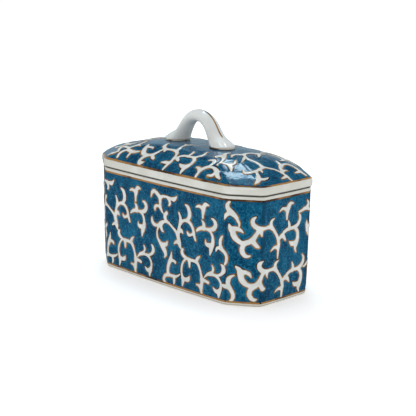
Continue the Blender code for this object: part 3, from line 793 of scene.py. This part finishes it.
# ---------------------------------------------------------------------------
# The lid
# ---------------------------------------------------------------------------
def make_lid():
    out = -OVERHANG
    rows, scroll, edge, shade = [], [], [], []

    def add(points, d=FAR, e=-FAR, shade_and_rough=0.0):
        rows.append(points)
        scroll.append(np.broadcast_to(d, COLUMNS))
        edge.append(np.broadcast_to(e, COLUMNS))
        shade.append(np.broadcast_to(shade_and_rough, COLUMNS))

    # inside of the dome, from the crown's line out to the hollow's wall
    spine = 54.0
    rim = perimeter_points(s_columns, DOME_INSET - OVERHANG)
    spine_x = np.clip(rim[:, 0] * spine / (HALF_LENGTH - CUT_X), -spine, spine)
    centre = np.c_[spine_x, np.zeros(COLUMNS)]
    hollow = perimeter_points(s_columns, HOLLOW_INSET)
    for k in (0.0, 0.2, 0.4, 0.6, 0.78, 0.92, 1.0):
        plan = centre * (1 - k) + hollow * k
        z = dome_height(plan[:, 0], plan[:, 1]) - DOME_THICK
        z = z - 1.5 * step(0.75, 1.0, k)
        add(np.c_[plan, z])
    add(wall_row(HOLLOW_INSET + 0.0, SEAT + 0.6))
    # the seat and the band's lower edge: their shade values paint shade into the joint over the rim and make it rough
    for inset, z, shade_and_rough in (
        (HOLLOW_INSET - 0.5, SEAT, 0.4),
        (4.0, SEAT, 0.6),
        (out + 2.2, SEAT, 1.0),
        (out + 1.4, SEAT, 1.0),
        (out + 0.80, SEAT + 0.24, 1.0),
        (out + 0.42, SEAT + 0.72, 0.65),
        (out + 0.12, SEAT + 1.30, 0.0),
        (out, SEAT + 2.4, 0.0),
        (out - 0.05, SEAT + 3.8, 0.0),
        (out, BAND_TOP - 2.6, 0.0),
    ):
        add(wall_row(inset, z), shade_and_rough=shade_and_rough)
    for inset, z, e in (
        (out + 0.12, BAND_TOP - 1.7, -1.9),
        (out + 0.38, BAND_TOP - 1.0, -1.15),
        (out + 0.75, BAND_TOP - 0.55, -0.65),
    ):
        add(wall_row(inset, z), e=e)
    # the dome
    count = 74
    shares = np.linspace(0, 1, count)
    plans = np.array([rim * (1 - k) + centre * k for k in shares])
    heights = dome_height(plans[..., 0], plans[..., 1])
    surface = np.concatenate([plans, heights[..., None]], -1)
    field = ornament(plans[..., 0], plans[..., 1], DOME_ALL).reshape(heights.shape)
    rim_next = np.roll(rim, -1, 0) - np.roll(rim, 1, 0)
    inward = np.c_[-rim_next[:, 1], rim_next[:, 0]]
    inward /= np.linalg.norm(inward, axis=1, keepdims=True)
    away = np.abs(np.einsum("kij,ij->ki", plans - rim[None], inward))
    trim = away * 1.8 - 0.2
    normal = normals_of(surface)
    normal[normal[..., 2] < 0] *= -1
    lift = relief(field, trim)
    lift[-1] = 0
    surface = surface + normal * lift[..., None]
    for i in range(count):
        add(surface[i], field[i], trim[i])
    obj = grid_object(
        "lid_dome_glazed",
        rows,
        {
            "scroll": np.array(scroll),
            "edge": np.array(edge),
            "bare": np.zeros((len(rows), COLUMNS)),
            "corner": np.full((len(rows), COLUMNS), FAR),
            "shade": np.array(shade),
        },
        ORNAMENT,
        caps=(False, False),
        weld=0.02,
    )
    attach(obj, "lid")
    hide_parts("lid_dome")
    return obj


def make_flange():
    top, bottom = flange_high.z * 1000, flange_low.z * 1000
    outer, inner = 6.2, 9.0
    rows = [
        wall_row(outer, top),
        wall_row(outer + 0.05, bottom + 2.0),
        wall_row(outer + 0.15, bottom + 0.9),
        wall_row(outer + 0.45, bottom + 0.3),
        wall_row(outer + 0.95, bottom),
        wall_row(inner - 0.95, bottom),
        wall_row(inner - 0.45, bottom + 0.3),
        wall_row(inner - 0.12, bottom + 0.9),
        wall_row(inner, bottom + 2.0),
        wall_row(inner, top),
    ]
    size = len(rows) * COLUMNS
    obj = grid_object(
        "lid_flange_glazed",
        rows,
        {"line": np.full(size, FAR), "foot": np.full(size, FAR)},
        PALE,
        closed_rows=True,
    )
    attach(obj, "lid")
    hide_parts("lid_flange")
    return obj


RIBS = (
    (0.0, 141.6, 90, 4.8, 7.4, 0.8),
    (7.1, 140.2, 68, 4.8, 7.6, 0.8),
    (13.1, 135.9, 47, 4.8, 8.0, 0.8),
    (17.8, 129.4, 33, 5.0, 8.5, 0.7),
    (21.4, 124.0, 27, 6.1, 9.2, 0.5),
    (24.8, 120.6, 20, 9.0, 10.1, 0.3),
    (28.0, 118.4, 8, 11.5, 10.8, 0.0),
)


def rib(t):
    i = min(int(t), len(RIBS) - 2)
    k = t - i
    p = [RIBS[max(0, min(len(RIBS) - 1, i + d))] for d in (-1, 0, 1, 2)]
    if i == 0:
        p[0] = (-RIBS[1][0], RIBS[1][1], 180 - RIBS[1][2], *RIBS[1][3:])
    p = np.array(p, float)
    a, b, c, d = p
    return 0.5 * (2 * b + (c - a) * k + (2 * a - 5 * b + 4 * c - d) * k * k + (3 * b - a - 3 * c + d) * k**3)


def make_handle():
    around = 72
    turn = 2 * np.pi * np.arange(around) / around
    c, s = np.cos(turn), np.sin(turn)
    steps = 54
    last = len(RIBS) - 1

    def section(side, t):
        x, z, lean, thick, wide, ridge = rib(t)
        lean = math.radians(lean)
        pinch = ridge * np.maximum(0, c) ** 10 + np.where(c > 0, 0.10 * thick * (c * c - 1), 0)
        outward = thick * c + pinch
        px = HANDLE_X + side * (x + math.cos(lean) * outward)
        pz = z + math.sin(lean) * outward
        py = wide * s
        floor = dome_height(px, py)
        if t > 3:
            low = floor + 1.6
            pz = np.maximum(pz, low) + 0.25 * np.exp(-((pz - low) ** 2) / 1.2)
        across = np.where(c > 0, np.abs(s) * wide, FAR)
        down = FAR if t > 4.35 else 0.0
        if t > 4.0:
            down = max(0.0, (t - 4.0) * 3)
        line = across + down
        return np.c_[px, py, pz], line, pz - floor

    rings, lines, feet = [], [], []

    def foot(points, flip):
        """Rounded lower edge and underside of a foot, following the dome."""
        middle = points[:, :2].mean(0)
        out = []
        for share, height in ((1.010, 0.95), (1.014, 0.55), (1.006, 0.28), (0.97, 0.20), (0.7, 0.20), (0.45, 0.20), (0.2, 0.20)):
            xy = middle + (points[:, :2] - middle) * share
            out.append(np.c_[xy, dome_height(xy[:, 0], xy[:, 1]) + height])
        return out[::-1] if flip else out

    spans = [last * (1 - i / steps) for i in range(steps)]
    start = section(-1, last)[0]
    for row in foot(start, True):
        rings.append(row)
        lines.append(np.full(around, FAR))
        feet.append(np.full(around, 0.4))
    for side, t in [(-1, t) for t in spans] + [(1, last * i / steps) for i in range(steps + 1)]:
        points, line, height = section(side, t)
        rings.append(points)
        lines.append(line)
        feet.append(height if t > 3 else np.full(around, FAR))
    for row in foot(rings[-1], False):
        rings.append(row)
        lines.append(np.full(around, FAR))
        feet.append(np.full(around, 0.4))
    obj = grid_object(
        "lid_handle_glazed", rings, {"line": np.array(lines), "foot": np.array(feet)}, PALE
    )
    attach(obj, "lid")
    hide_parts("lid_handle")
    return obj


make_body()
make_lid()
make_flange()
make_handle()

# ---------------------------------------------------------------------------
# Floor, light and camera
# ---------------------------------------------------------------------------
floor_material = bpy.data.materials.new("studio_floor")
floor_material.use_nodes = True
floor_shader = floor_material.node_tree.nodes["Principled BSDF"]
floor_shader.inputs["Base Color"].default_value = (0.92, 0.92, 0.92, 1)
floor_shader.inputs["Roughness"].default_value = 0.95
floor_shader.inputs["Specular IOR Level"].default_value = 0.0
floor_shader.inputs["Emission Color"].default_value = (1, 1, 1, 1)
floor_shader.inputs["Emission Strength"].default_value = 0.30
floor_mesh = bpy.data.meshes.new("floor")
floor_mesh.from_pydata([(-6, -6, 0), (6, -6, 0), (6, 6, 0), (-6, 6, 0)], [], [(0, 1, 2, 3)])
floor_mesh.materials.append(floor_material)
floor = bpy.data.objects.new("studio_floor", floor_mesh)
floor.location.z = -0.0002
floor.visible_glossy = False  # the studio's table is draped dark where the glaze would mirror it
bpy.context.scene.collection.objects.link(floor)
floor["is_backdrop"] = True


def make_world():
    """White backdrop; the glaze mirrors a dimmer room: pale walls, a darker ceiling and a dark side in front of the box."""
    world = bpy.data.worlds.new("studio_world")
    world.use_nodes = True
    tree = world.node_tree
    background = tree.nodes["Background"]
    path = tree.nodes.new("ShaderNodeLightPath")
    direction = tree.nodes.new("ShaderNodeTexCoord").outputs["Generated"]

    def value(kind, a, b=0.0, clamp=False):
        node = tree.nodes.new("ShaderNodeMath")
        node.operation = kind
        node.use_clamp = clamp
        for socket, v in ((node.inputs[0], a), (node.inputs[1], b)):
            if isinstance(v, bpy.types.NodeSocket):
                tree.links.new(v, socket)
            else:
                socket.default_value = v
        return node.outputs[0]

    def mix(factor, a, b):
        return value("ADD", a, value("MULTIPLY", factor, value("SUBTRACT", b, a)))

    def soft(v, low, high, to_low, to_high):
        node = tree.nodes.new("ShaderNodeMapRange")
        node.interpolation_type = "SMOOTHSTEP"
        tree.links.new(v, node.inputs["Value"])
        for key, x in (("From Min", low), ("From Max", high), ("To Min", to_low), ("To Max", to_high)):
            node.inputs[key].default_value = x
        return node.outputs[0]

    axes = tree.nodes.new("ShaderNodeSeparateXYZ")
    tree.links.new(direction, axes.inputs[0])
    walls = soft(axes.outputs["Z"], -0.10, 0.10, 0.17, 0.58)
    room = value("MULTIPLY", walls, soft(axes.outputs["Z"], 0.38, 0.44, 1.0, 0.16))
    dot = tree.nodes.new("ShaderNodeVectorMath")
    dot.operation = "DOT_PRODUCT"
    tree.links.new(direction, dot.inputs[0])
    dot.inputs[1].default_value = (0.60, -0.78, 0.15)
    room = value("MULTIPLY", room, soft(dot.outputs["Value"], 0.62, 0.96, 1.0, 0.06))
    strength = mix(path.outputs["Is Glossy Ray"], 0.80, room)
    strength = mix(path.outputs["Is Camera Ray"], strength, 1.0)
    tree.links.new(strength, background.inputs["Strength"])
    tint = tree.nodes.new("ShaderNodeMix")
    tint.data_type = "RGBA"
    tree.links.new(path.outputs["Is Glossy Ray"], tint.inputs["Factor"])
    tint.inputs[6].default_value = (1, 1, 1, 1)
    tint.inputs[7].default_value = (0.76, 0.92, 1.0, 1)
    tree.links.new(tint.outputs[2], background.inputs["Color"])
    return world


bpy.context.scene.world = make_world()


def softbox(name, azimuth, elevation, distance, size_x, size_y, radiance, colour=(1, 1, 1), glints=False):
    """A lamp at this direction from the object, azimuth from +X, both in degrees; its radiance is that of its face. With glints it only makes highlights."""
    light = bpy.data.lights.new(name, "AREA")
    light.shape = "RECTANGLE"
    light.size, light.size_y = size_x, size_y
    light.energy = radiance * math.pi * size_x * size_y
    light.color = colour
    obj = bpy.data.objects.new(name, light)
    a, e = math.radians(azimuth), math.radians(elevation)
    away = Vector((math.cos(a) * math.cos(e), math.sin(a) * math.cos(e), math.sin(e)))
    obj.location = Vector((0, 0, 0.08)) + away * distance
    obj.rotation_euler = away.to_track_quat("Z", "Y").to_euler()
    obj.visible_camera = False
    obj.visible_diffuse = not glints
    bpy.context.scene.collection.objects.link(obj)
    return obj


# The daylight comes through a window whose frame and a plant break it into three.
softbox("daylight_sill", 151, 67, 1.6, 0.30, 0.34, 11.0, (0.66, 0.87, 1.0))
softbox("daylight_pane_left", 137, 47, 1.6, 0.15, 0.50, 7.0, (0.68, 0.88, 1.0))
softbox("daylight_pane_right", 126, 42, 1.6, 0.09, 0.34, 7.0, (0.68, 0.88, 1.0))
softbox("overhead_softbox", 150, 84, 1.5, 0.7, 0.7, 1.2, (0.72, 0.88, 1.0))
softbox("glint_left", -113, 77, 1.5, 0.09, 0.09, 18.0, glints=True)
softbox("glint_right", 86, 79, 1.5, 0.09, 0.09, 18.0, glints=True)
softbox("glint_strip", -61, 11, 1.5, 0.11, 0.26, 9.0, glints=True)

yaw, pitch, roll = (math.radians(v) for v in (45.42, 13.49, 0.81))
ahead = Vector((-math.sin(yaw) * math.cos(pitch), math.cos(yaw) * math.cos(pitch), -math.sin(pitch)))
right = Vector((math.cos(yaw), math.sin(yaw), 0))
up = right.cross(ahead)
right, up = (
    math.cos(roll) * right + math.sin(roll) * up,
    -math.sin(roll) * right + math.cos(roll) * up,
)
camera_data = bpy.data.cameras.new("camera")
camera_data.lens = 94.17
camera_data.sensor_width = 36
camera_data.clip_start = 0.01
camera = bpy.data.objects.new("camera", camera_data)
place = Vector((0, 0, 0.04416)) - ahead * 0.958404 + right * 0.005771 + up * 0.015877
basis = Matrix((right, up, -ahead)).transposed().to_4x4()
camera.matrix_world = Matrix.Translation(place) @ basis
bpy.context.scene.collection.objects.link(camera)
bpy.context.scene.camera = camera
bpy.context.scene.view_settings.view_transform = "Standard"
bpy.context.scene.view_settings.look = "None"


def plain(value):
    return [[float(c) for c in corner] for corner in value] if hasattr(value, "__len__") else value


{"cad": plain(cad_bounds), "visual": plain(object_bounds())}
